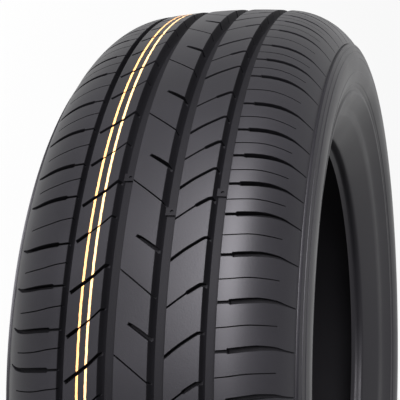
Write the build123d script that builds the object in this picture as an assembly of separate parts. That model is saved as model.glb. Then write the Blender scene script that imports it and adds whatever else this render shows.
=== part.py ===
"""A 205/55 R16 summer tyre for a passenger car, moulded as one solid.

The tyre lies on one sidewall with its axle along +Z, and the origin is the
centre of the wheel. Heights are along the axle, from the middle of the tread.
Angles go clockwise seen from above, and 0 is the front, at -Y.
"""
import os
from math import acos, asin, atan2, cos, degrees, hypot, radians, sin, sqrt

from build123d import *

# Overall size, as in the size code on a tyre: rim, section height and width
rim_seat_radius = 202.8
section_height = 113.2
half_width = 107.9
outer_radius = rim_seat_radius + section_height

# Tread and shoulder, whose arcs meet without a corner
sidewall_bulge = 7.1
shoulder_width = 45.8
tread_half_width = half_width - sidewall_bulge
crown_half_width = tread_half_width - shoulder_width
crown_curve_radius = 503.0
shoulder_curve_radius = 60.0
tread_edge_ledge = 0.5

# Sidewall, rim protector and the face that leans on the rim flange
widest_radius = rim_seat_radius + 0.54 * section_height
sidewall_curve_radius = 0.31 * section_height
protector_radius = rim_seat_radius + 0.342 * section_height
protector_height = half_width - 4.4
protector_crest = 2.0
protector_undercut = 3.0
flange_top = (rim_seat_radius + 0.231 * section_height, half_width - 12.9)
flange_seat = (rim_seat_radius + 0.17 * section_height, half_width - 15.0)

# Bead
heel_height = half_width - 32.3
heel_chamfer = 4.5
seat_length = 6.5
toe_height = heel_height - 10.1
toe_radius = rim_seat_radius - 2.9
bead_inside = (rim_seat_radius + 8.2, toe_height + 1.0)

# Inner lining
crown_thickness = 17.5
sidewall_thickness = 9.4
liner_radius = outer_radius - crown_thickness
liner_curve_radius = 450.0
liner_half_width = half_width - sidewall_thickness
liner_crown_half_width = liner_half_width - 0.34 * section_height
liner_bend_curve = 14.0

# The tread pattern is drawn for this half width, and stretches with the tread
drawn_half_width = 100.8
stretch = tread_half_width / drawn_half_width

# Grooves around the tread: the heights of both edges, and how far each wall leans in
groove_depth = 8.0
ring_grooves = {
    "outer": (-51.7 * stretch, -47.0 * stretch, 0.6),
    "centre_outer": (-22.5 * stretch, -11.6 * stretch, 1.4),
    "centre_inner": (11.6 * stretch, 22.3 * stretch, 1.4),
    "inner": (45.6 * stretch, 55.0 * stretch, 0.8),
}

# Pitch lengths around the tread in relative units, as one run that repeats
lower_pitch_run = [9, 10, 10, 12, 9, 11, 10, 12, 9, 11, 9]
lower_pitch_repeats = 6
lower_first_angle = 6.75
upper_pitch_run = [11, 11, 11, 10, 8, 8, 8, 9, 11, 8, 8, 11, 9, 8, 9, 8, 8, 9, 8]
upper_pitch_repeats = 4
upper_first_angle = 3.72

# Cross grooves. A path runs along the middle of the groove, as (drawn height, angle
# from its pitch, width around the tread). The shoulder grooves get shallower
# outwards: their floor is given as (drawn height, depth under the tread).
rib_slot_depth = 6.5
cut_margin = 4.0
lower_shoulder_path = [(-50.5, 0, 2.6), (-80, -0.3, 3.2), (-102, 0, 1.0)]
upper_shoulder_path = [(54, 0, 2.8), (85, 0.7, 3.4), (102, 0.3, 1.0)]
shoulder_slot_floor = [(50, 7.0), (78, 7.1), (102, -1.8)]
full_wide_rib_path = [(-45.5, -6.3, 3.1), (-21, -2.7, 2.6)]
short_wide_rib_path = [(-45.5, -6.3, 3.1), (-36, -4.9, 2.8)]
centre_notch_path = [(-2.5, 0.85, 2.2), (13, -1.0, 2.8)]
full_even_rib_path = [(21, -1.05, 2.0), (46.5, 2.15, 2.0)]
short_even_rib_path = [(35, 1.0, 2.4), (46.5, 2.15, 2.6)]

# Wear bars across the bottoms of the wide grooves
wear_bar_rise = 1.6
wear_bar_length = 8.0
wear_bar_rows = 6
wear_bar_root = 1.0
wear_bar_angles = {"centre_outer": 31.15, "centre_inner": 25.95, "inner": 28.75}


def tread_radius(height):
    """Radius of the uncut tread surface at a height along the axle."""
    height = abs(height)
    crown_centre = outer_radius - crown_curve_radius
    if height <= crown_half_width:
        return crown_centre + sqrt(crown_curve_radius**2 - height**2)
    centre = shoulder_centre()
    return centre[0] + sqrt(shoulder_curve_radius**2 - (height - centre[1]) ** 2)


def shoulder_centre():
    """Centre of the shoulder arc, tangent to the crown arc at crown_half_width."""
    lean = asin(crown_half_width / crown_curve_radius)
    reach = crown_curve_radius - shoulder_curve_radius
    crown_centre = outer_radius - crown_curve_radius
    return crown_centre + reach * cos(lean), reach * sin(lean)


def arc(centre, radius, start, end):
    """An arc in the section plane, by its centre and its end angles in degrees."""
    return CenterArc(centre, radius, start, end - start)


def outer_outline():
    """Edges of the upper half from the middle of the tread down to the bead toe."""
    lean = degrees(asin(crown_half_width / crown_curve_radius))
    crown = arc((outer_radius - crown_curve_radius, 0), crown_curve_radius, 0, lean)
    centre = shoulder_centre()
    edge_angle = degrees(asin((tread_half_width - centre[1]) / shoulder_curve_radius))
    shoulder = arc(centre, shoulder_curve_radius, lean, edge_angle)
    ledge_radius = tread_radius(tread_half_width) - tread_edge_ledge
    side_centre = (widest_radius, half_width - sidewall_curve_radius)
    top_angle = degrees(asin((ledge_radius - widest_radius) / sidewall_curve_radius))
    foot_radius = protector_radius + protector_undercut
    foot_angle = degrees(asin((widest_radius - foot_radius) / sidewall_curve_radius))
    sidewall = arc(side_centre, sidewall_curve_radius, 90 - top_angle, 90 + foot_angle)
    ledge = Line(shoulder @ 1, sidewall @ 0)
    bead = Polyline(
        sidewall @ 1,
        (protector_radius, protector_height),
        (protector_radius - protector_crest, protector_height),
        flange_top,
        flange_seat,
        (rim_seat_radius + heel_chamfer, heel_height + heel_chamfer),
        (rim_seat_radius, heel_height),
        (rim_seat_radius, heel_height - seat_length),
        (toe_radius, toe_height),
    )
    return [crown, shoulder, ledge, sidewall, bead]


def inner_outline():
    """Edges of the upper half from the bead toe back up to the middle of the lining."""
    lean = asin(liner_crown_half_width / liner_curve_radius)
    crown_centre = liner_radius - liner_curve_radius
    shoulder_curve = (liner_half_width - liner_crown_half_width) / (1 - sin(lean))
    reach = liner_curve_radius - shoulder_curve
    shoulder_middle = (crown_centre + reach * cos(lean), reach * sin(lean))
    bend_middle = (shoulder_middle[0], liner_half_width - liner_bend_curve)
    fall = (bend_middle[0] - bead_inside[0], bend_middle[1] - bead_inside[1])
    touch = 180 + degrees(atan2(fall[1], fall[0]) - acos(liner_bend_curve / hypot(*fall)))
    crown = arc((crown_centre, 0), liner_curve_radius, 0, degrees(lean))
    shoulder = arc(shoulder_middle, shoulder_curve, degrees(lean), 90)
    bend = arc(bend_middle, liner_bend_curve, 90, touch)
    bead = Polyline(bend @ 1, bead_inside, (toe_radius, toe_height))
    return [crown, shoulder, bend, bead]


def groove_section(low, high, wall_lean):
    """Section of one groove around the tread."""
    floor = tread_radius((low + high) / 2) - groove_depth
    top = outer_radius + cut_margin
    flare = wall_lean * (top - floor) / groove_depth
    return Polyline(
        (floor, low + wall_lean),
        (top, low + wall_lean - flare),
        (top, high - wall_lean + flare),
        (floor, high - wall_lean),
        close=True,
    )


def casing_section():
    """The whole section with its four grooves, in the XZ plane."""
    middle = Line((liner_radius, 0), (outer_radius, 0))
    outline = Curve() + outer_outline() + inner_outline() + [middle]
    half = make_face(Plane.XZ * outline)
    section = half + mirror(half, Plane.XY)
    for groove in ring_grooves.values():
        section -= make_face(Plane.XZ * groove_section(*groove))
    return section


def around(angle):
    """The turn that takes a shape at the front of the tyre to an angle."""
    return Rot(0, 0, -angle)


def front_plane(radius):
    """A plane that faces out of the tread at the front, with its y along the axle."""
    return Plane(origin=(0, -radius, 0), x_dir=(1, 0, 0), z_dir=(0, -1, 0))


def cross_slot(path, floor):
    """A cutter for a groove along a path, from its floor radius out of the tread."""
    sides = []
    for side in (1, -1):
        points = [(side * width / 2 - outer_radius * radians(angle), height * stretch)
                  for height, angle, width in path]
        sides += points[::side]
    outline = make_face(front_plane(floor) * Polyline(*sides, close=True))
    return extrude(outline, outer_radius + cut_margin - floor, dir=(0, -1, 0))


def shoulder_slot(path, side):
    """A cutter whose floor follows the shoulder and runs out at the tread edge."""
    section = Plane(origin=(0, 0, 0), x_dir=(0, -1, 0), z_dir=(-1, 0, 0))
    floor = [(tread_radius(height * stretch) - depth, side * height * stretch)
             for height, depth in shoulder_slot_floor]
    top = outer_radius + cut_margin
    outline = Polyline(*floor, (top, floor[-1][1]), (top, floor[0][1]), close=True)
    reach = outer_radius * radians(2)
    wedge = extrude(make_face(section * outline), reach, both=True)
    return cross_slot(path, floor[-1][0] - cut_margin) & wedge


def pitch_angles(run, repeats, first):
    """The angle at which each pitch starts, once around the tread."""
    lengths = run * repeats
    unit = 360 / sum(lengths)
    return [first + unit * sum(lengths[:count]) for count in range(len(lengths))]


def cross_grooves():
    """Every cutter for the cross grooves, in place around the tread."""
    crown_floor = outer_radius - rib_slot_depth
    rib_floor = tread_radius(ring_grooves["centre_outer"][0]) - rib_slot_depth
    lower = shoulder_slot(lower_shoulder_path, -1)
    upper = shoulder_slot(upper_shoulder_path, 1)
    lower_pair = [[lower, cross_slot(short_wide_rib_path, rib_floor)],
                  [lower, cross_slot(full_wide_rib_path, rib_floor),
                   cross_slot(centre_notch_path, crown_floor)]]
    upper_pair = [[upper, cross_slot(short_even_rib_path, rib_floor)],
                  [upper, cross_slot(full_even_rib_path, rib_floor)]]
    cutters = []
    for run, repeats, first, pair in (
        (lower_pitch_run, lower_pitch_repeats, lower_first_angle, lower_pair),
        (upper_pitch_run, upper_pitch_repeats, upper_first_angle, upper_pair),
    ):
        for count, angle in enumerate(pitch_angles(run, repeats, first)):
            cutters += [around(angle) * slot for slot in pair[count % 2]]
    return cutters


def wear_bars():
    """Low bars across the wide grooves, rooted in their floors and walls."""
    bars = []
    for name, first in wear_bar_angles.items():
        low, high, wall_lean = ring_grooves[name]
        floor = tread_radius((low + high) / 2) - groove_depth
        width = high - low - 2 * wall_lean + 2 * wear_bar_root
        bar = front_plane(floor - wear_bar_root) * Pos(0, (low + high) / 2) * extrude(
            Rectangle(wear_bar_length, width), wear_bar_root + wear_bar_rise)
        for row in range(wear_bar_rows):
            bars.append(around(first + row * 360 / wear_bar_rows) * bar)
    return bars


casing = revolve(casing_section(), Axis.Z)
cutters = cross_grooves()
tyre = casing - cutters
tyre += wear_bars()
os.makedirs("parts", exist_ok=True)
export_step(tyre, "parts/tyre.step")
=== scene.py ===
"""The looks of a 205/55 R16 summer tyre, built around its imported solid.

The tyre lies on one sidewall with its axle along +Z, and the origin is the centre
of the wheel. Angles go clockwise seen from above, and 0 is the front, at -Y.
Sizes on the drawing are in millimetres, and the mesh is made in metres.
"""

from math import acos, asin, atan2, cos, degrees, hypot, pi, radians, sin, sqrt

import bpy
import numpy as np
from bpy.props import FloatProperty, FloatVectorProperty, PointerProperty
from mathutils import Matrix, Vector
from mathutils.geometry import delaunay_2d_cdt


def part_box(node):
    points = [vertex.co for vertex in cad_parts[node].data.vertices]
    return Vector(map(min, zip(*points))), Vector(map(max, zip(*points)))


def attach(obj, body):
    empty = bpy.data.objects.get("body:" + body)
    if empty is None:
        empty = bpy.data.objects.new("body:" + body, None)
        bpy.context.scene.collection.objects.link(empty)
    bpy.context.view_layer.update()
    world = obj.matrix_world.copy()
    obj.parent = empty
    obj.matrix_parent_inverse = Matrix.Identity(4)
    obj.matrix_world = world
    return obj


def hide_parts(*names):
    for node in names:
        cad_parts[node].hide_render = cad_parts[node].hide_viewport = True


bl_info = {
    "name": "Car tyre",
    "version": (1, 0, 0),
    "blender": (4, 5, 0),
    "location": "3D View > Sidebar > Tyre",
    "description": "Builds a summer car tyre around its packed solid",
    "category": "Object",
}

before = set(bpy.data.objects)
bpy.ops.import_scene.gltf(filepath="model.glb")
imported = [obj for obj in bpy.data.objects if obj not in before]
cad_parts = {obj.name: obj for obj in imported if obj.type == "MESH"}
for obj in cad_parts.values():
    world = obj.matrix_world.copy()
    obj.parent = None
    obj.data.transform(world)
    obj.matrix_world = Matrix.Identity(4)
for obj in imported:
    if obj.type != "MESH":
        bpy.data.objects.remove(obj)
CAD_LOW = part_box("tyre")[0]
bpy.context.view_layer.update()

MM = 0.001
OUTER_RADIUS = 316.0
HALF_WIDTH = 107.9

# Tread and shoulder, whose arcs meet without a corner
CROWN_CURVE = 503.0
CROWN_HALF_WIDTH = 55.0
SHOULDER_CURVE = 60.0
TREAD_EDGE = 100.8
EDGE_LEDGE = 0.5

# Fine line moulded along the tread edge, as steps in radius and height from it
EDGE_LINE = [(-1.0, -0.1), (-1.1, 0.5)]

# Rings pressed into the sidewall, as (radius, step out of its arc), from the rim protector up
RELIEF = [(247.0, 0.0), (247.5, -0.35), (248.5, -0.35), (249.0, 0.0), (258.0, 0.0), (258.4, -0.3),
          (269.6, -0.3), (270.0, 0.0), (274.4, 0.0), (274.8, -0.45), (275.6, -0.45), (276.0, -0.05),
          (278.8, 0.0), (279.1, -0.35), (279.5, -0.35), (279.8, 0.0)]
RELIEF_RADII = [radius for radius, _ in RELIEF]
RELIEF_STEPS = [step for _, step in RELIEF]

# Sidewall, then the rim protector, the face on the rim flange and the bead as (radius, height)
WIDEST_RADIUS = 264.0
SIDEWALL_CURVE = 35.0
SIDEWALL_STEPS = 18
PROTECTOR = [(245.0, 102.3), (242.6, 102.4), (241.7, 103.2), (241.0, 103.5), (240.0, 103.5),
             (239.3, 103.3), (238.7, 102.7), (237.4, 101.6), (234.5, 99.2), (231.0, 96.4)]
FLANGE = [(229.0, 95.0), (227.6, 94.3), (226.0, 93.9), (222.0, 92.9), (219.5, 90.9)]
BEAD = [(207.3, 80.1), (204.6, 77.8), (203.3, 76.6), (202.8, 75.4), (202.8, 72.0), (202.8, 69.4),
        (202.4, 68.4), (200.3, 66.0), (199.9, 65.5), (200.6, 65.2), (204.5, 65.6), (210.2, 66.2)]

# Inner lining
LINER_RADIUS = 298.5
LINER_CURVE = 450.0
LINER_CROWN_HALF_WIDTH = 60.0
LINER_HALF_WIDTH = 98.5
LINER_BEND = 14.0
LINER_BEND_STEPS = 8
LINER_CROWN_STEPS = 4
BEAD_INSIDE = (211.0, 66.5)

# Grooves around the tread: both edges, and how far each wall leans in
RING_GROOVES = [(-51.7, -47.0, 0.6), (-22.5, -11.6, 1.4), (11.6, 22.3, 1.4), (45.6, 55.0, 0.8)]
GROOVE_DEPTH = 8.0
SLOT_DEPTH = 6.4
BRIDGE_DEPTH = 3.6
EDGE_ROUNDING = 0.3
FLOOR_FILLET = 1.0

# Slots go straight down in the ribs, and turn square to the shoulder over this run of heights
LEAN_START = 56
LEAN_RUN = 20

# Pitch lengths around the tread, in relative units, as one run that repeats
LOWER_RUN = [9, 10, 10, 12, 9, 11, 10, 12, 9, 11, 9]
LOWER_REPEATS, LOWER_FIRST = 6, 6.75
UPPER_RUN = [11, 11, 11, 10, 8, 8, 8, 9, 11, 8, 8, 11, 9, 8, 9, 8, 8, 9, 8]
UPPER_REPEATS, UPPER_FIRST = 4, 3.72

# Slots run along paths of (height, degrees from the pitch, width, depth)
LOWER_SHOULDER = [(-50.9, 0.0, 1.4, 3.6), (-58.6, -0.1, 1.4, 3.6), (-59.4, -0.1, 3.2, 6.4),
                  (-70, -0.2, 3.2, 6.0), (-80, -0.3, 3.1, 5.0), (-88, -0.2, 2.3, 3.0), (-94, 0.3, 0.7, 0.6)]
LOWER_SIPE = [(-50.9, 0.0, 0.8, 3.6), (-60, -0.25, 0.8, 5.0), (-70, -0.6, 0.8, 4.5), (-80, -0.75, 0.8, 3.0),
              (-87, -0.75, 0.7, 1.2)]
WIDE_RIB = [(-45.5, -6.3, 2.4, 6.4), (-38, -5.3, 2.4, 6.4), (-30, -4.2, 2.2, 6.4), (-20.9, -2.65, 2.0, 6.4)]
WIDE_HALF_RIB = [(-45.5, -6.3, 2.4, 6.4), (-38.4, -5.35, 2.4, 6.4), (-37.6, -5.25, 1.0, 6.4),
                 (-30, -4.2, 1.0, 6.4), (-20.9, -2.65, 1.0, 6.4)]
CENTRE_LINE = [(-13.2, 2.25, 1.0, 6.4), (0, 0.5, 1.0, 6.4), (13.2, -1.3, 1.0, 6.4)]
CENTRE_NOTCH = [(-2.6, 0.86, 1.7, 6.4), (0, 0.6, 2.2, 6.4), (4, 0.15, 2.5, 6.4), (13.2, -0.97, 2.7, 6.4)]
EVEN_RIB = [(20.7, -1.1, 1.9, 6.4), (30, 0.35, 1.9, 6.4), (38, 1.4, 1.9, 6.4), (43.8, 2.1, 1.9, 6.4),
            (46.6, 2.15, 1.9, 6.4)]
EVEN_HALF_RIB = [(20.7, -1.05, 1.0, 6.4), (30, 0.3, 1.0, 6.4), (34.6, 0.95, 1.0, 6.4), (35.4, 1.05, 2.4, 6.4),
                 (43.6, 2.03, 2.5, 6.4), (46.6, 2.1, 2.6, 6.4)]
UPPER_SHOULDER = [(54.0, 0.0, 1.8, 3.6), (62.1, 0.14, 1.8, 3.6), (62.9, 0.16, 3.4, 6.4), (80, 0.65, 3.4, 5.0),
                  (90, 0.7, 2.2, 2.4), (95, 0.5, 1.1, 1.0), (100.2, 0.3, 0.6, 0.5)]
UPPER_SIPE = [(54.0, 0.0, 0.8, 3.6), (63, 0.2, 0.8, 5.0), (75, 0.55, 0.8, 3.6), (91, 0.7, 0.7, 0.8)]
LOWER_SIPE_SHIFT = 0.2
UPPER_SIPE_SHIFT = -0.1
SLOT_RIM = 0.2
CURVED_RUN = 3

# Wear bars: groove, first angle, and the height of the small dot on each bar
WEAR_BARS = [(1, 31.85, -16.6), (2, 26.85, 17.2), (3, 29.65, 50.0)]
WEAR_BAR_ROWS = 6
WEAR_BAR_LENGTH = 6.0
DOT_RADIUS = 1.2
DOT_DEPTH = 7.6
DOT_CORNERS = 8

# Steps of the mesh around the tyre and across the tread, and what keeps its points apart
SEGMENTS = 180
ROW_GAP = 7.0
SHOULDER_ROW_GAP = 4.5
CROWN_ROW = -CROWN_HALF_WIDTH - 0.02
SEAM_BEND = 96.0
SEAM_GAP = 0.15
POINT_GAP = 0.7
MERGE_GAP = 1e-4
SHARP_ANGLE = 32

# Rubber: gloss of its faces, grooves and lining, and how dark the last two are beside the first; that
# darkening is painted shade, in the grooves and inside the tyre
FACE_GLOSS, GROOVE_GLOSS, LINING_GLOSS = 0.25, 0.12, 0.2
GROOVE_PAINTED_SHADE, LINING_PAINTED_SHADE = 0.6, 0.7
LINING_ROUGHNESS = 0.75
RUBBER_IOR = 1.5
GLOSS_TINT = (0.96, 0.93, 1.0, 1.0)

# Faint patches and fine grain in the rubber: size of the noise, its detail, and what it changes
PATCH_SCALE, PATCH_DETAIL = 14, 3
PATCH_LOW, PATCH_HIGH = 0.3, 0.7
PATCH_TONE, PATCH_ROUGHNESS = 0.14, 0.04
GRAIN_SCALE, GRAIN_DETAIL = 900, 2
GRAIN_STRENGTH, GRAIN_HEIGHT = 0.25, 0.0002

# Paint lines: where the rib's face starts, and their soft, wavering and worn edges
PAINT_HEIGHT = 37
PAINT_DEPTH = 0.3
PAINT_EDGE = 0.15
WAVER, WAVER_SCALE, WAVER_DETAIL = 0.35, 260, 2
WORN_SCALE, WORN_DETAIL = 420, 3
WORN_LOW, WORN_HIGH, WORN_COVER = 0.25, 0.45, 0.75

# Studio, in metres: each softbox has its place, its target, its sizes and its power factor
WHITE = (1, 1, 1, 1)
FLOOR_REACH = 30.0
FLOOR_ROUGHNESS = 0.9
FLOOR_GLOW = 0.93
ROOM_LIGHT = 0.08
SOFTBOXES = [
    ("key_softbox", (-1.0, -1.5, 0.2), (0, -0.3, 0), (1.5, 1.0), 4.2),
    ("top_softbox", (0.3, 0.5, 1.6), (0, 0, 0.05), (1.6, 1.2), 0.15),
]

# Where the photograph was taken from, in metres and radians, and its lens in pixels
CAMERA_PLACE = (-0.1476357, -0.9633334, 0.2391464)
CAMERA_YAW, CAMERA_PITCH, CAMERA_ROLL = -0.2861464, -0.0007638, -0.0096148
FOCAL_PIXELS, PHOTO_PIXELS = 1081.8194, 400
SENSOR_WIDTH = 36.0


def pitch_angles(run, repeats, first):
    """The angle at which each pitch starts, once around the tread, and where the last one ends."""
    lengths = run * repeats
    unit = 360 / sum(lengths)
    return [first + unit * sum(lengths[:count]) for count in range(len(lengths) + 1)]


LOWER_PITCHES = pitch_angles(LOWER_RUN, LOWER_REPEATS, LOWER_FIRST)
UPPER_PITCHES = pitch_angles(UPPER_RUN, UPPER_REPEATS, UPPER_FIRST)

# The line where the unrolled tread is cut, as (height, angle), kept clear of every slot
SEAM = [(-TREAD_EDGE, 6.0), (-SEAM_BEND, LOWER_PITCHES[0] - 1.2), (-51.7, LOWER_PITCHES[0] - 1.2),
        (-47.0, LOWER_PITCHES[1] - 8.7), (-22.5, LOWER_PITCHES[1] - 5.2), (-11.6, LOWER_PITCHES[0] - 0.3),
        (11.6, LOWER_PITCHES[0] - 3.55), (22.3, UPPER_PITCHES[0] - 3.0), (45.6, UPPER_PITCHES[0]),
        (55.0, UPPER_PITCHES[0] - 1.0), (SEAM_BEND, UPPER_PITCHES[0] - 1.0), (TREAD_EDGE, 2.0)]
SEAM_HEIGHTS = [height for height, _ in SEAM]
SEAM_ANGLES = [angle for _, angle in SEAM]


def seam_angle(height):
    return float(np.interp(height, SEAM_HEIGHTS, SEAM_ANGLES))


def past_seam(angle, height, offset=0.0):
    """The angle, turned so that what is at the height lies between the two copies of the seam."""
    return angle - 360 * np.floor((angle + offset - seam_angle(height)) / 360)


def shoulder_centre():
    """Centre of the shoulder arc, tangent to the crown arc."""
    lean = asin(CROWN_HALF_WIDTH / CROWN_CURVE)
    reach = CROWN_CURVE - SHOULDER_CURVE
    return OUTER_RADIUS - CROWN_CURVE + reach * cos(lean), reach * sin(lean)


def tread_radius(height):
    """Radius of the uncut tread surface at a height along the axle."""
    height = abs(height)
    if height <= CROWN_HALF_WIDTH:
        return OUTER_RADIUS - CROWN_CURVE + sqrt(CROWN_CURVE**2 - height**2)
    centre = shoulder_centre()
    return centre[0] + sqrt(SHOULDER_CURVE**2 - (height - centre[1]) ** 2)


def tread_lean(height):
    """Angle in radians by which the tread surface faces away from the middle."""
    side = 1 if height >= 0 else -1
    height = abs(height)
    if height <= CROWN_HALF_WIDTH:
        return side * asin(height / CROWN_CURVE)
    return side * asin((height - shoulder_centre()[1]) / SHOULDER_CURVE)


def depth_lean(height):
    """Direction in which a slot goes down: along the radius in the ribs, square to the shoulder."""
    share = min(max((abs(height) - LEAN_START) / LEAN_RUN, 0), 1)
    return tread_lean(height) * share * share * (3 - 2 * share)


def groove_profile():
    """Heights and depths of the four ring grooves, from the lower to the upper."""
    heights, depths = [-TREAD_EDGE], [0.0]
    for low, high, lean in RING_GROOVES:
        side = [(-EDGE_ROUNDING, 0.0), (0.0, EDGE_ROUNDING), (lean * 0.5, BRIDGE_DEPTH), (lean, SLOT_DEPTH),
                (lean + FLOOR_FILLET, GROOVE_DEPTH)]
        heights += [low + step for step, _ in side] + [high - step for step, _ in reversed(side)]
        depths += [depth for _, depth in side] + [depth for _, depth in reversed(side)]
    return heights + [TREAD_EDGE], depths + [0.0]


PROFILE_HEIGHTS, PROFILE_DEPTHS = groove_profile()


def groove_depth(height):
    return float(np.interp(height, PROFILE_HEIGHTS, PROFILE_DEPTHS))


def flat(angle, height):
    """A point of the unrolled tread, in millimetres."""
    return OUTER_RADIUS * radians(angle), height


def curved_point(before, a, b, after, share):
    """A point between a and b, with its angle on the smooth curve through the path."""
    square, cube = share * share, share**3
    bend = ((b - before) * (share - 2 * square + cube) + (after - a) * (cube - square)) / 2
    curve = (2 * cube - 3 * square + 1) * a + (3 * square - 2 * cube) * b + bend
    heights, angles = zip(*sorted(tuple(point[:2]) for point in (a, curve, b)))
    mixed = a + (b - a) * share
    mixed[1] = np.interp(mixed[0], heights, angles)
    return mixed


def smooth_path(path):
    """The path with its longer runs curved."""
    points = np.array(path, float)
    result = [points[0]]
    for i, (a, b) in enumerate(zip(points[:-1], points[1:])):
        before, after = points[max(i - 1, 0)], points[min(i + 2, len(points) - 1)]
        if abs(b[0] - a[0]) > CURVED_RUN:
            result += [curved_point(before, a, b, after, share) for share in (1 / 3, 2 / 3)]
        result.append(b)
    return result


class Slot:
    """One cut in the unrolled tread: its outline, and its depth along its height."""

    def __init__(self, path, angle, rim):
        self.path = smooth_path(path)
        middle = self.path[len(self.path) // 2]
        self.angle = past_seam(angle, middle[0], middle[1])
        self.rim = rim
        order = sorted((p[0], p[3]) for p in self.path)
        self.heights = [p[0] for p in order]
        self.depths = [p[1] for p in order]

    def depth(self, height):
        return float(np.interp(height, self.heights, self.depths))

    def outline(self, grow=0.0):
        line = np.array([flat(self.angle + p[1], p[0]) for p in self.path])
        half = np.array([p[2] / 2 + grow for p in self.path])[:, None]
        along = np.gradient(line, axis=0)
        along /= np.linalg.norm(along, axis=1)[:, None]
        across = np.stack([-along[:, 1], along[:, 0]], axis=1)
        line[0] -= along[0] * grow
        line[-1] += along[-1] * grow
        return [*(line + across * half), *(line - across * half)[::-1]]


class Dot:
    """A small round hole in a wear bar."""

    rim = 0.0

    def __init__(self, angle, height):
        self.angle = past_seam(angle, height)
        self.height = height

    def depth(self, height):
        return DOT_DEPTH

    def outline(self, grow=0.0):
        u, v = flat(self.angle, self.height)
        turns = [2 * pi * k / DOT_CORNERS for k in range(DOT_CORNERS)]
        return [np.array((u + DOT_RADIUS * cos(turn), v + DOT_RADIUS * sin(turn))) for turn in turns]


def tread_slots():
    """Every cross slot, sipe and dot, once around the tread."""
    slots = []
    for count, angle in enumerate(LOWER_PITCHES[:-1]):
        slots.append(Slot(LOWER_SHOULDER, angle, SLOT_RIM))
        middle = (angle + LOWER_PITCHES[count + 1]) / 2
        slots.append(Slot(LOWER_SIPE, middle + LOWER_SIPE_SHIFT, 0.0))
        odd = count % 2
        slots.append(Slot(WIDE_RIB if odd else WIDE_HALF_RIB, angle, SLOT_RIM))
        slots.append(Slot(CENTRE_NOTCH if odd else CENTRE_LINE, angle, SLOT_RIM if odd else 0.0))
    for count, angle in enumerate(UPPER_PITCHES[:-1]):
        slots.append(Slot(UPPER_SHOULDER, angle, SLOT_RIM))
        middle = (angle + UPPER_PITCHES[count + 1]) / 2
        slots.append(Slot(UPPER_SIPE, middle + UPPER_SIPE_SHIFT, 0.0))
        slots.append(Slot(EVEN_RIB if count % 2 else EVEN_HALF_RIB, angle, SLOT_RIM))
    for _, first, height in WEAR_BARS:
        slots += [Dot(first + row * 360 / WEAR_BAR_ROWS, height) for row in range(WEAR_BAR_ROWS)]
    return slots


def wear_bar_outlines():
    """The places of the wear bars in the unrolled tread."""
    outlines = []
    half = WEAR_BAR_LENGTH / 2
    for groove, first, _ in WEAR_BARS:
        low, high, _ = RING_GROOVES[groove]
        for row in range(WEAR_BAR_ROWS):
            u, _ = flat(past_seam(first + row * 360 / WEAR_BAR_ROWS, (low + high) / 2), 0)
            outlines.append([(u - half, low), (u + half, low), (u + half, high), (u - half, high)])
    return outlines


def tread_rows():
    """Heights of the rows of points across the tread."""
    rows = [*PROFILE_HEIGHTS, CROWN_ROW, -SEAM_BEND, SEAM_BEND]
    edges = sorted(rows)
    for low, high in zip(edges[:-1], edges[1:]):
        gap = SHOULDER_ROW_GAP if abs(low + high) / 2 > CROWN_HALF_WIDTH else ROW_GAP
        count = int((high - low) // gap)
        rows += [low + (high - low) * step / (count + 1) for step in range(1, count + 1)]
    return sorted(rows)


def row_points(height):
    """Points of one row of the unrolled tread, from one copy of the seam to the other."""
    first = seam_angle(height)
    between = [k for k in range(0, 720, 360 // SEGMENTS) if first + SEAM_GAP < k < first + 360 - SEAM_GAP]
    return [flat(angle, height) for angle in (first, *between, first + 360)]


def anticlockwise(outline):
    """The outline in the turning sense that the division of the tread needs."""
    area = sum(a[0] * b[1] - b[0] * a[1] for a, b in zip(outline, [*outline[1:], outline[0]]))
    return outline if area > 0 else outline[::-1]


def near(points, outline, reach):
    """Which points lie within reach of the outline."""
    result = np.zeros(len(points), bool)
    for a, b in zip(outline, [*outline[1:], outline[0]]):
        run = b - a
        share = np.clip(((points - a) @ run) / max(run @ run, 1e-9), 0, 1)
        result |= np.linalg.norm(points - a - share[:, None] * run, axis=1) < reach
    return result


def clear_of_slots(points, slots):
    """The points that keep their distance from the rim of every slot."""
    points = np.array(points)
    keep = np.ones(len(points), bool)
    for slot in slots:
        outline = slot.outline(slot.rim)
        low, high = np.min(outline, axis=0) - POINT_GAP, np.max(outline, axis=0) + POINT_GAP
        inside = np.flatnonzero(((points > low) & (points < high)).all(axis=1))
        keep[inside[near(points[inside], outline, POINT_GAP)]] = False
    return [tuple(point) for point in points[keep]]


def divide_tread(slots):
    """Triangles of the unrolled tread, and the areas that each one belongs to."""
    points, edges, loose, border = [], [], [], []
    for height in tread_rows():
        row = row_points(height)
        start = len(points)
        if height in PROFILE_HEIGHTS:
            points += row
            edges += [(start + k, start + k + 1) for k in range(len(row) - 1)]
        else:
            points += [row[0], row[-1]]
            loose += row[1:-1]
        border.append((start, len(points) - 1))
    for below, above in zip(border[:-1], border[1:]):
        edges += [(below[0], above[0]), (below[1], above[1])]
    points += clear_of_slots(loose, slots)
    left, right = [k for k, _ in border], [k for _, k in border]
    faces = [[*range(left[0], right[0] + 1), *right[1:-1],
              *range(right[-1], left[-1] - 1, -1), *left[-2:0:-1]]]
    kinds = [("tread", None)]

    def add_area(outline, kind, slot=None):
        start = len(points)
        points.extend(tuple(p) for p in anticlockwise(outline))
        faces.append(list(range(start, len(points))))
        kinds.append((kind, slot))

    for outline in wear_bar_outlines():
        add_area(outline, "bar")
    for slot in slots:
        add_area(slot.outline(), "slot", slot)
        if slot.rim:
            add_area(slot.outline(slot.rim), "rim", slot)
    found = delaunay_2d_cdt([Vector(p) for p in points], edges, faces, 0, MERGE_GAP)
    return np.array([tuple(p) for p in found[0]]), found[2], found[5], kinds


def around(radius, height, angle):
    """A point of the row frame in metres."""
    turn = radians(angle)
    return (-radius * sin(turn) * MM, -radius * cos(turn) * MM, height * MM)


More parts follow.
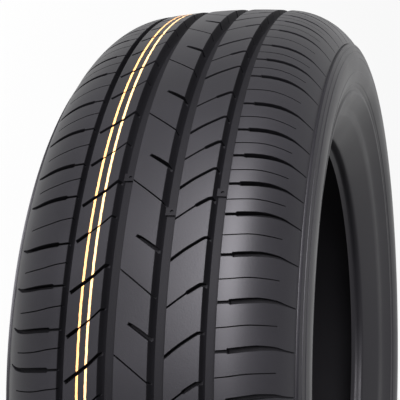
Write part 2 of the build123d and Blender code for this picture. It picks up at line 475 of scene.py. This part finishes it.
class TreadMesh:
    """Collects vertices of the tread, the same one wherever place and depth agree."""

    def __init__(self):
        self.keys = {}
        self.points = []
        self.leans = []

    def vertex(self, angle, height, depth):
        angle %= 360
        key = (round(angle, 3) % 360, round(height, 3), round(depth, 3))
        if key not in self.keys:
            self.keys[key] = len(self.points)
            lean = depth_lean(height)
            radius = tread_radius(height) - depth * cos(lean)
            self.points.append(around(radius, height - depth * sin(lean), angle))
            self.leans.append((angle, tread_lean(height)))
        return self.keys[key]


def facing_out(places, corners):
    """The corners of a triangle in the order that faces out of the tread."""
    (ax, ay), (bx, by), (cx, cy) = (places[k] for k in corners)
    area = (bx - ax) * (cy - ay) - (cx - ax) * (by - ay)
    return list(corners[::-1] if area > 0 else corners)


def tread_parts(places, triangles, origins, kinds):
    """The triangles of the tread, each with the depths of its corners under the uncut surface."""
    areas, cut_corners = [], set()
    for corners, origin in zip(triangles, origins):
        if 0 in origin:
            cuts = [kinds[k][1] for k in origin if kinds[k][0] == "slot"]
            areas.append((facing_out(places, corners), cuts, {kinds[k][0] for k in origin}))
            cut_corners.update(corners if cuts else ())
    base = [groove_depth(height) for height in places[:, 1]]
    parts = []
    for corners, cuts, names in areas:
        depths = []
        for corner in corners:
            depth = base[corner]
            if "bar" in names:
                depth = min(depth, SLOT_DEPTH)
            if cuts:
                depth = max(depth, *(cut.depth(places[corner][1]) for cut in cuts))
            elif "rim" in names and corner in cut_corners:
                depth = max(depth, EDGE_ROUNDING)
            depths.append(round(depth, 3))
        parts.append((corners, depths))
    return parts


def slot_walls(parts):
    """The walls between neighbouring triangles of different depth, as corners and depths."""
    levels, sides = {}, {}
    for corners, depths in parts:
        for k in range(3):
            after = (k + 1) % 3
            levels.setdefault(corners[k], set()).add(depths[k])
            sides[(corners[k], corners[after])] = (depths[k], depths[after])
    walls = []
    for (a, b), (deep_a, deep_b) in sides.items():
        if (b, a) not in sides or a > b:
            continue
        far_b, far_a = sides[(b, a)]
        if deep_a == far_a and deep_b == far_b:
            continue
        wall = []
        for corner, start, end in ((a, deep_a, far_a), (b, far_b, deep_b)):
            between = sorted(d for d in levels[corner] if min(start, end) < d < max(start, end))
            steps = [start, *(between if start < end else between[::-1]), end]
            wall += [(corner, depth) for depth in steps]
        walls.append(wall)
    return walls


def tread_faces(mesh):
    """Faces of the tread between its two edges, and which of them are the uncut surface."""
    places, triangles, origins, kinds = divide_tread(tread_slots())
    parts = tread_parts(places, triangles, origins, kinds)
    angles = [degrees(u / OUTER_RADIUS) for u in places[:, 0]]
    faces, uncut = [], []
    for corners, depths in parts:
        face = [mesh.vertex(angles[k], places[k][1], depth) for k, depth in zip(corners, depths)]
        if len(set(face)) == 3:
            faces.append(face)
            uncut.append(max(depths) == 0)
    for wall in slot_walls(parts):
        ring = [mesh.vertex(angles[k], places[k][1], depth) for k, depth in wall]
        face = [k for i, k in enumerate(ring) if k != ring[i - 1]]
        if len(set(face)) >= 3:
            faces.append(face)
            uncut.append(False)
    return faces, uncut


def sidewall_arc():
    """The upper sidewall from the tread edge down to the rim protector."""
    edge = tread_radius(TREAD_EDGE)
    top = asin((edge - EDGE_LEDGE - WIDEST_RADIUS) / SIDEWALL_CURVE)
    foot = asin((WIDEST_RADIUS - PROTECTOR[0][0]) / SIDEWALL_CURVE)
    rows = [(edge + drop, TREAD_EDGE + step) for drop, step in EDGE_LINE]
    turns = [top - (top + foot) * k / SIDEWALL_STEPS for k in range(SIDEWALL_STEPS + 1)]
    turns += [asin((radius - WIDEST_RADIUS) / SIDEWALL_CURVE) for radius in RELIEF_RADII]
    for turn in sorted(turns, reverse=True):
        radius = WIDEST_RADIUS + SIDEWALL_CURVE * sin(turn)
        reach = SIDEWALL_CURVE + float(np.interp(radius, RELIEF_RADII, RELIEF_STEPS))
        rows.append((WIDEST_RADIUS + reach * sin(turn), HALF_WIDTH - SIDEWALL_CURVE + reach * cos(turn)))
    return rows


def liner_rows():
    """The inner lining from the bead up to its middle."""
    lean = asin(LINER_CROWN_HALF_WIDTH / LINER_CURVE)
    middle = LINER_RADIUS - LINER_CURVE
    curve = (LINER_HALF_WIDTH - LINER_CROWN_HALF_WIDTH) / (1 - sin(lean))
    reach = LINER_CURVE - curve
    shoulder = (middle + reach * cos(lean), reach * sin(lean))
    bend = (shoulder[0], LINER_HALF_WIDTH - LINER_BEND)
    fall = (bend[0] - BEAD_INSIDE[0], bend[1] - BEAD_INSIDE[1])
    touch = pi + atan2(fall[1], fall[0]) - acos(LINER_BEND / hypot(*fall))
    rows = [BEAD_INSIDE]
    for centre, radius, start, end, steps in ((bend, LINER_BEND, touch, pi / 2, LINER_BEND_STEPS),
                                              (shoulder, curve, pi / 2, lean, LINER_BEND_STEPS),
                                              ((middle, 0), LINER_CURVE, lean, 0, LINER_CROWN_STEPS)):
        for k in range(0 if centre is bend else 1, steps + 1):
            turn = start + (end - start) * k / steps
            rows.append((centre[0] + radius * cos(turn), centre[1] + radius * sin(turn)))
    return rows


def outer_rows():
    """Rows of the section from the upper tread edge, over the sidewall, to the bead toe."""
    return [*sidewall_arc(), *PROTECTOR[1:], *FLANGE, *BEAD]


def casing_rows():
    """Rows of the section from the upper tread edge, round the inside, to the lower one."""
    upper = [*outer_rows(), *liner_rows()]
    lower = [(radius, -height) for radius, height in reversed(upper[:-1])]
    return upper + lower


def casing_faces(mesh):
    """Faces that turn the casing rows around the axle, and which of them line the inside."""
    step = 360 / SEGMENTS
    rings = [[mesh.vertex(k * step, TREAD_EDGE, 0.0) for k in range(SEGMENTS)]]
    for radius, height in casing_rows():
        start = len(mesh.points)
        mesh.points += [around(radius, height, k * step) for k in range(SEGMENTS)]
        rings.append(list(range(start, start + SEGMENTS)))
    rings.append([mesh.vertex(k * step, -TREAD_EDGE, 0.0) for k in range(SEGMENTS)])
    faces, lined = [], []
    outside = len(outer_rows())
    for row, (near_ring, far_ring) in enumerate(zip(rings[:-1], rings[1:])):
        for k in range(SEGMENTS):
            after = (k + 1) % SEGMENTS
            faces.append([near_ring[k], near_ring[after], far_ring[after], far_ring[k]])
            lined.append(outside < row < len(rings) - 2 - outside)
    return faces, lined


def shade_smooth(mesh, collected, uncut):
    """Smooth shading between sharp edges, and the normals of the uncut tread from its arcs."""
    mesh.polygons.foreach_set("use_smooth", [True] * len(mesh.polygons))
    mesh.set_sharp_from_angle(angle=radians(SHARP_ANGLE))
    normals = np.zeros((len(mesh.loops), 3), np.float32)
    for face, plain in zip(mesh.polygons, uncut):
        if plain:
            for loop in face.loop_indices:
                angle, lean = collected.leans[mesh.loops[loop].vertex_index]
                turn = radians(angle)
                normals[loop] = (-sin(turn) * cos(lean), -cos(turn) * cos(lean), sin(lean))
    mesh.normals_split_custom_set(normals.tolist())


class Graph:
    """The nodes of one material or world, cleared and ready to be built."""

    def __init__(self, owner):
        owner.use_nodes = True
        self.nodes, self.links = owner.node_tree.nodes, owner.node_tree.links
        self.nodes.clear()

    def feed(self, socket, value):
        """Links another socket to this one, or sets its value."""
        if isinstance(value, bpy.types.NodeSocket):
            self.links.new(value, socket)
        else:
            socket.default_value = value

    def add(self, kind, inputs=()):
        """A new node, with the inputs that are given as pairs of name and value."""
        node = self.nodes.new(kind)
        for name, value in inputs:
            self.feed(node.inputs[name], value)
        return node

    def noise(self, place, scale, detail):
        node = self.add("ShaderNodeTexNoise", [("Vector", place), ("Scale", scale), ("Detail", detail)])
        return node.outputs["Fac"]

    def spread(self, source, low, high, out_low, out_high):
        """The source, with its range from low to high stretched over another one."""
        node = self.add("ShaderNodeMapRange", [("Value", source), ("From Min", low), ("From Max", high),
                                               ("To Min", out_low), ("To Max", out_high)])
        return node.outputs["Result"]

    def maths(self, operation, *values):
        node = self.add("ShaderNodeMath", enumerate(values))
        node.operation = operation
        return node.outputs["Value"]

    def mix(self, share, a, b):
        """The colour a share of the way from a to b."""
        node = self.nodes.new("ShaderNodeMix")
        node.data_type = "RGBA"
        self.feed(node.inputs["Factor"], share)
        for socket, value in zip([s for s in node.inputs if s.type == "RGBA"], (a, b)):
            self.feed(socket, value)
        return next(s for s in node.outputs if s.type == "RGBA")

    def seen_directly(self):
        """1 for what the camera sees, also in gloss or through glass."""
        path = self.add("ShaderNodeLightPath")
        seen = path.outputs["Is Camera Ray"]
        for name in ("Is Glossy Ray", "Is Transmission Ray"):
            seen = self.maths("MAXIMUM", seen, path.outputs[name])
        return seen


def paint_lines(graph, place, settings, colour):
    """The colour, with the two paint lines over it on the uncut face of the second rib."""
    split = graph.add("ShaderNodeSeparateXYZ", [("Vector", place)])
    x, y, z = (split.outputs[axis] for axis in "XYZ")
    squares = graph.maths("ADD", graph.maths("MULTIPLY", x, x), graph.maths("MULTIPLY", y, y))
    radius = graph.maths("SQRT", squares)
    face = graph.maths("GREATER_THAN", radius, (tread_radius(PAINT_HEIGHT) - PAINT_DEPTH) * MM)
    waver = graph.spread(graph.noise(place, WAVER_SCALE, WAVER_DETAIL), 0.0, 1.0, -WAVER * MM, WAVER * MM)
    height = graph.maths("ADD", z, waver)
    half, soft = settings.line_width / 2, PAINT_EDGE * MM
    for middle, paint in ((settings.outer_line, settings.outer_paint),
                          (settings.inner_line, settings.inner_paint)):
        off = graph.maths("ABSOLUTE", graph.maths("SUBTRACT", height, middle))
        line = graph.spread(off, half - soft, half + soft, 1.0, 0.0)
        patchy = graph.noise(place, WORN_SCALE, WORN_DETAIL)
        worn = graph.spread(patchy, WORN_LOW, WORN_HIGH, WORN_COVER, 1.0)
        cover = graph.maths("MULTIPLY", graph.maths("MULTIPLY", line, face), worn)
        colour = graph.mix(cover, colour, (*paint, 1))
    return colour


def rubber_material(name, settings, painted_shade, roughness, gloss):
    """Moulded rubber with faint patches and a fine grain, and the paint lines where they run."""
    material = bpy.data.materials.new(name)
    graph = Graph(material)
    place = graph.add("ShaderNodeTexCoord").outputs["Object"]
    patches = graph.noise(place, PATCH_SCALE, PATCH_DETAIL)
    # The colour is darkened by the shade factor: painted shade in the grooves and on the inner lining
    dark, light = ((*(part * painted_shade * tone for part in settings.rubber_colour), 1)
                   for tone in (1 - PATCH_TONE, 1 + PATCH_TONE))
    colour = graph.mix(graph.spread(patches, PATCH_LOW, PATCH_HIGH, 0.0, 1.0), dark, light)
    rough = graph.spread(patches, PATCH_LOW, PATCH_HIGH,
                         roughness - PATCH_ROUGHNESS, roughness + PATCH_ROUGHNESS)
    bump = graph.add("ShaderNodeBump", [("Strength", GRAIN_STRENGTH), ("Distance", GRAIN_HEIGHT),
                                        ("Height", graph.noise(place, GRAIN_SCALE, GRAIN_DETAIL))])
    shader = graph.add("ShaderNodeBsdfPrincipled", [
        ("Base Color", paint_lines(graph, place, settings, colour)),
        ("Roughness", rough),
        ("IOR", RUBBER_IOR),
        ("Specular IOR Level", gloss),
        ("Specular Tint", GLOSS_TINT),
        ("Normal", bump.outputs["Normal"]),
    ])
    graph.add("ShaderNodeOutputMaterial", [("Surface", shader.outputs["BSDF"])])
    return material


def floor_material(settings):
    """A matt pale floor that glows where it is seen, and keeps the shadow of the tyre."""
    material = bpy.data.materials.new("floor")
    graph = Graph(material)
    matt = graph.add("ShaderNodeBsdfPrincipled", [("Base Color", (*settings.floor_colour, 1)),
                                                  ("Roughness", FLOOR_ROUGHNESS),
                                                  ("Specular IOR Level", 0.0)])
    glow = graph.add("ShaderNodeEmission", [("Strength", 1.0)])
    share = graph.maths("MULTIPLY", graph.seen_directly(), FLOOR_GLOW)
    both = graph.add("ShaderNodeMixShader", [("Fac", share), (1, matt.outputs["BSDF"]),
                                             (2, glow.outputs["Emission"])])
    graph.add("ShaderNodeOutputMaterial", [("Surface", both.outputs["Shader"])])
    return material


def studio_world():
    """White where it is seen, also in gloss, and a dim light for all else."""
    world = bpy.data.worlds.new("studio")
    graph = Graph(world)
    dim = graph.add("ShaderNodeBackground", [("Color", WHITE), ("Strength", ROOM_LIGHT)])
    white = graph.add("ShaderNodeBackground", [("Color", WHITE), ("Strength", 1.0)])
    both = graph.add("ShaderNodeMixShader", [("Fac", graph.seen_directly()), (1, dim.outputs["Background"]),
                                             (2, white.outputs["Background"])])
    graph.add("ShaderNodeOutputWorld", [("Surface", both.outputs["Shader"])])
    return world


class TyreSettings(bpy.types.PropertyGroup):
    """Colours and finishes that a user would change."""

    rubber_colour: FloatVectorProperty(
        name="Rubber", description="Colour of the rubber", subtype="COLOR", size=3,
        default=(0.0065, 0.0062, 0.0078), min=0, max=1)
    roughness: FloatProperty(
        name="Roughness", description="How matt the rubber is", default=0.42, min=0.1, max=1)
    groove_roughness: FloatProperty(
        name="Groove roughness", description="How matt the rubber is in the grooves",
        default=0.62, min=0.1, max=1)
    outer_paint: FloatVectorProperty(
        name="Outer paint line", description="Colour of the paint line nearer the shoulder",
        subtype="COLOR", size=3, default=(0.93, 0.45, 0.16), min=0, max=1)
    inner_paint: FloatVectorProperty(
        name="Inner paint line", description="Colour of the paint line nearer the middle",
        subtype="COLOR", size=3, default=(0.96, 0.55, 0.24), min=0, max=1)
    outer_line: FloatProperty(
        name="Outer line height", description="Height of the outer paint line along the axle",
        default=-0.0368, unit="LENGTH")
    inner_line: FloatProperty(
        name="Inner line height", description="Height of the inner paint line along the axle",
        default=-0.0306, unit="LENGTH")
    line_width: FloatProperty(
        name="Line width", description="Width of each paint line", default=0.0016, unit="LENGTH")
    floor_colour: FloatVectorProperty(
        name="Floor", description="Colour of the studio floor", subtype="COLOR", size=3,
        default=(0.9, 0.9, 0.9), min=0, max=1)
    light_power: FloatProperty(
        name="Light", description="Power that each softbox takes times its own factor",
        default=26.0, unit="POWER")


class TYRE_OT_rubber(bpy.types.Operator):
    """Build the moulded tyre with every groove and sipe of its tread"""

    bl_idname = "tyre.rubber"
    bl_label = "Tyre"

    def execute(self, context):
        collected = TreadMesh()
        faces, uncut = tread_faces(collected)
        turned, lined = casing_faces(collected)
        mesh = bpy.data.meshes.new("tyre_rubber")
        mesh.from_pydata(collected.points, [], faces + turned)
        if mesh.validate():
            raise RuntimeError("the tyre mesh had faces that Blender had to remove")
        shade_smooth(mesh, collected, uncut)
        tyre = bpy.data.objects.new("tyre_rubber", mesh)
        context.scene.collection.objects.link(tyre)
        settings = context.scene.tyre_settings
        for name, painted_shade, roughness, gloss in (
            ("rubber_face", 1.0, settings.roughness, FACE_GLOSS),
            # The groove finish has a darker colour: painted shade in its recesses
            ("rubber_groove_painted_shade", GROOVE_PAINTED_SHADE, settings.groove_roughness, GROOVE_GLOSS),
            # The lining finish has a darker colour: painted shade inside the tyre
            ("rubber_lining_painted_shade", LINING_PAINTED_SHADE, LINING_ROUGHNESS, LINING_GLOSS),
        ):
            mesh.materials.append(rubber_material(name, settings, painted_shade, roughness, gloss))
        mesh.polygons.foreach_set("material_index", [0 if plain else 1 for plain in uncut]
                                  + [2 if inner else 0 for inner in lined])
        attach(tyre, "root")
        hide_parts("tyre")
        return {"FINISHED"}


def add_softbox(scene, name, place, target, size, power):
    """A soft rectangular light that faces its target."""
    light = bpy.data.lights.new(name, "AREA")
    light.shape = "RECTANGLE"
    light.size, light.size_y = size
    light.energy = power
    lamp = bpy.data.objects.new(name, light)
    scene.collection.objects.link(lamp)
    lamp.location = place
    lamp.rotation_mode = "QUATERNION"
    lamp.rotation_quaternion = (Vector(target) - Vector(place)).to_track_quat("-Z", "Y")


def camera_matrix():
    """The camera's place and directions, on its side as the tyre is."""
    ahead = Vector((-sin(CAMERA_PITCH), cos(CAMERA_YAW) * cos(CAMERA_PITCH),
                    sin(CAMERA_YAW) * cos(CAMERA_PITCH)))
    right = Vector((0, -sin(CAMERA_YAW), cos(CAMERA_YAW)))
    up = right.cross(ahead)
    turned_right = cos(CAMERA_ROLL) * right + sin(CAMERA_ROLL) * up
    turned_up = cos(CAMERA_ROLL) * up - sin(CAMERA_ROLL) * right
    matrix = Matrix.Identity(4)
    for column, vector in enumerate((turned_right, turned_up, -ahead, CAMERA_PLACE)):
        for row in range(3):
            matrix[row][column] = vector[row]
    return matrix


def add_camera(scene):
    data = bpy.data.cameras.new("camera")
    data.sensor_width = SENSOR_WIDTH
    data.lens = FOCAL_PIXELS * SENSOR_WIDTH / PHOTO_PIXELS
    data.clip_start, data.clip_end = 0.01, 100
    camera = bpy.data.objects.new("camera", data)
    scene.collection.objects.link(camera)
    camera.matrix_world = camera_matrix()
    scene.camera = camera


class TYRE_OT_stage(bpy.types.Operator):
    """Build the floor, the soft lights, the white background and the camera"""

    bl_idname = "tyre.stage"
    bl_label = "Stage"

    def execute(self, context):
        scene = context.scene
        settings = scene.tyre_settings
        corners = [(x * FLOOR_REACH, y * FLOOR_REACH, CAD_LOW.z)
                   for x, y in ((-1, -1), (1, -1), (1, 1), (-1, 1))]
        mesh = bpy.data.meshes.new("floor")
        mesh.from_pydata(corners, [], [(0, 1, 2, 3)])
        mesh.materials.append(floor_material(settings))
        floor = bpy.data.objects.new("floor", mesh)
        scene.collection.objects.link(floor)
        scene.world = studio_world()
        for name, place, target, size, factor in SOFTBOXES:
            add_softbox(scene, name, place, target, size, settings.light_power * factor)
        add_camera(scene)
        scene.view_settings.view_transform = "Standard"
        return {"FINISHED"}


class TYRE_PT_panel(bpy.types.Panel):
    """Lists the pieces of the tyre and the stage"""

    bl_idname = "TYRE_PT_panel"
    bl_label = "Tyre"
    bl_space_type = "VIEW_3D"
    bl_region_type = "UI"
    bl_category = "Tyre"

    def draw(self, context):
        layout = self.layout
        for name in TyreSettings.__annotations__:
            layout.prop(context.scene.tyre_settings, name)
        for operator in OPERATORS:
            layout.operator(operator.bl_idname)


OPERATORS = (TYRE_OT_rubber, TYRE_OT_stage)
CLASSES = (TyreSettings, *OPERATORS, TYRE_PT_panel)


def register():
    for item in CLASSES:
        bpy.utils.register_class(item)
    bpy.types.Scene.tyre_settings = PointerProperty(type=TyreSettings)


def unregister():
    del bpy.types.Scene.tyre_settings
    for item in reversed(CLASSES):
        bpy.utils.unregister_class(item)


def main():
    register()
    bpy.ops.tyre.rubber()
    bpy.ops.tyre.stage()


if __name__ == "__main__":
    main()
